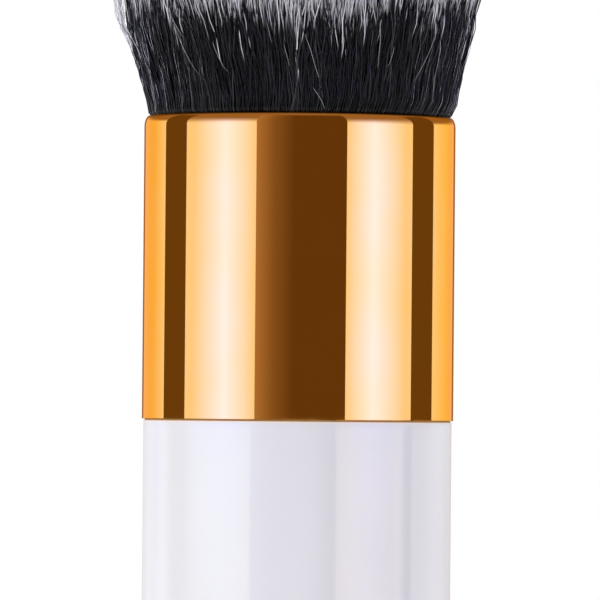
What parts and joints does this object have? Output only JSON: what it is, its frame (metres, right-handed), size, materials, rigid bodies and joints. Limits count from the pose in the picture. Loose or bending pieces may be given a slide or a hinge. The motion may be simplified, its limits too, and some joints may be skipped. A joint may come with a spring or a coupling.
{
  "type": "makeup brush",
  "caption": "Short, thick face brush that stands on its butt: round lacquered handle, polished metal ferrule flush with it, and dense splayed fibres with a flat crown.",
  "frame": {"origin": "middle of the flat end of the handle, on which the brush stands", "axes": "+Z along the brush's axis, from the handle's flat end to the crown of the fibres"},
  "size_m": [0.034, 0.034, 0.1059],
  "materials": {
    "handle_lacquer": "turned wood under glossy white lacquer",
    "ferrule_metal": "gold-coloured, polished to a mirror",
    "fibres": "satin synthetic fibres, black with pale tips",
    "waxed_thread": "waxed",
    "epoxy": "cast, clear amber"
  },
  "bodies": {
    "root": {"handle": "handle_lacquer", "ferrule": "ferrule_metal", "bristle_tuft": "fibres", "binding_thread": "waxed_thread", "epoxy_plug": "epoxy"}
  },
  "joints": []
}
